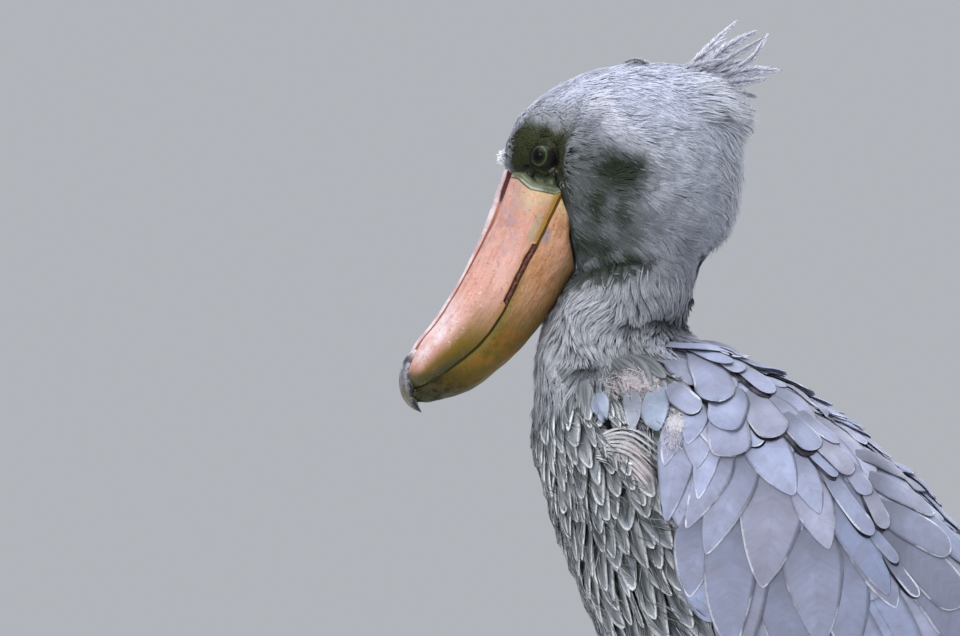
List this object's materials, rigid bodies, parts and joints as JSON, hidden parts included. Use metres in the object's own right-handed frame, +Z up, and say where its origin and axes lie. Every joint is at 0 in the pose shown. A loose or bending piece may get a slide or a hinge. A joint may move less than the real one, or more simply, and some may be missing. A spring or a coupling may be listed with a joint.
{
  "type": "shoebill",
  "caption": "Life-size standing shoebill at rest, its heavy bill laid down against its breast, with folded wings, a small nape crest and long toes.",
  "frame": {"origin": "on the floor, under the middle of the bird's own length and width", "axes": "+Z up, the bird faces -Y and its left side is +X"},
  "size_m": [0.3302, 0.7268, 1.1701],
  "materials": {
    "plumage": "soft blue-grey feathers with pale edges",
    "wing_plumage": "smooth blue-grey feathers with thin white edges",
    "pale_plumage": "fine hair-like pale grey feathers",
    "bill_horn": "waxy salmon horn with grey-violet patches",
    "bill_horn_dark": "waxy tan to olive horn",
    "nail_horn": "smooth grey horn",
    "eye_glass": "wet, clear, with a dark pupil",
    "leg_skin": "dark scaled skin"
  },
  "bodies": {
    "root": {"head": "pale_plumage", "neck": "pale_plumage", "torso": "plumage", "tail": "plumage", "bill_upper": "bill_horn", "bill_lower": "bill_horn_dark", "bill_nail": "nail_horn", "wing_left": "wing_plumage", "wing_right": "wing_plumage", "eye_left": "eye_glass", "eye_right": "eye_glass", "thigh_left": "plumage", "thigh_right": "plumage", "shin_left": "leg_skin", "shin_right": "leg_skin", "tarsus_left": "leg_skin", "tarsus_right": "leg_skin", "toe_hind_left": "leg_skin", "toe_hind_right": "leg_skin", "claw_hind_left": "nail_horn", "claw_hind_right": "nail_horn", "toe_inner_left": "leg_skin", "toe_inner_right": "leg_skin", "claw_inner_left": "nail_horn", "claw_inner_right": "nail_horn", "toe_middle_left": "leg_skin", "toe_middle_right": "leg_skin", "claw_middle_left": "nail_horn", "claw_middle_right": "nail_horn", "toe_outer_left": "leg_skin", "toe_outer_right": "leg_skin", "claw_outer_left": "nail_horn", "claw_outer_right": "nail_horn"}
  },
  "joints": []
}
